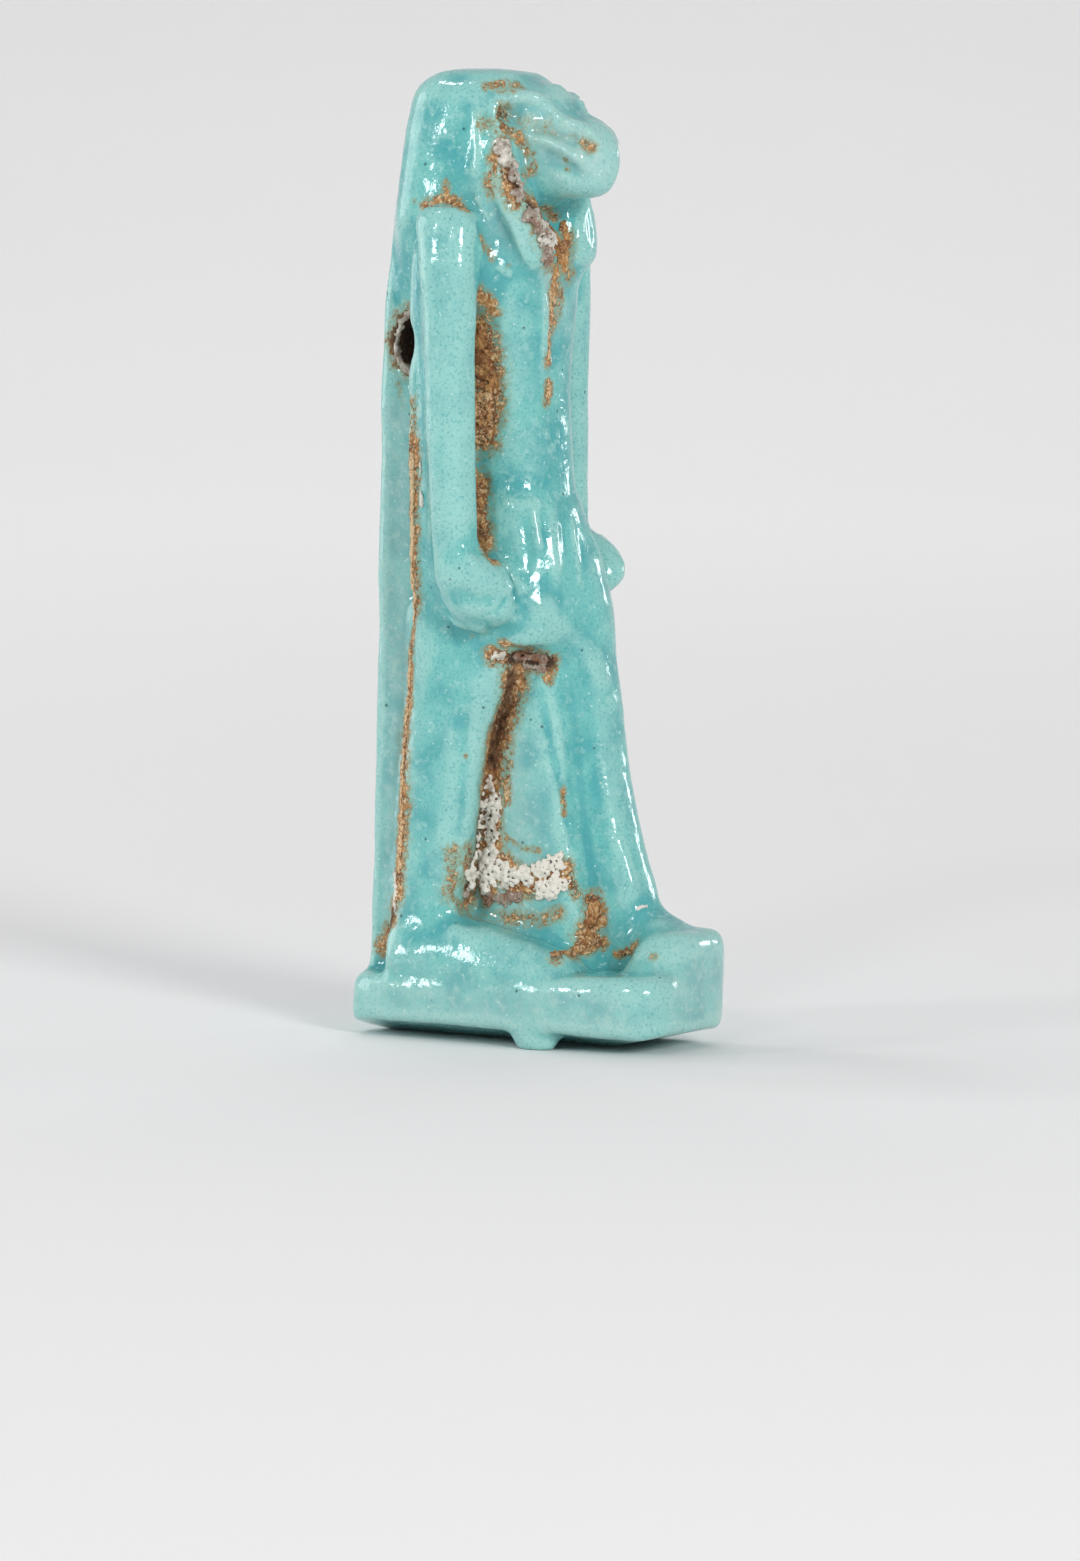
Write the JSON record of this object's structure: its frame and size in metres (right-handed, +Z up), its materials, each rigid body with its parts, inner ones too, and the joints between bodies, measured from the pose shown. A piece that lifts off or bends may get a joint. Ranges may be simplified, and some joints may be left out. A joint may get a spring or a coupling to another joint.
{
  "type": "faience amulet",
  "caption": "Small turquoise faience amulet: an animal-headed figure striding on a base, with a plain back pillar pierced crosswise for a cord",
  "frame": {"origin": "centre of the outline seen from above, on the surface that it stands on", "axes": "+Z up the figure, -Y the way that it faces, +X towards its own left"},
  "size_m": [0.0116, 0.0152, 0.0406],
  "materials": {
    "glazed_faience": "glossy turquoise glaze, paler on the ridges, with brown earth and grey crust left in the hollows"
  },
  "bodies": {
    "root": {"amulet": "glazed_faience"}
  },
  "joints": []
}
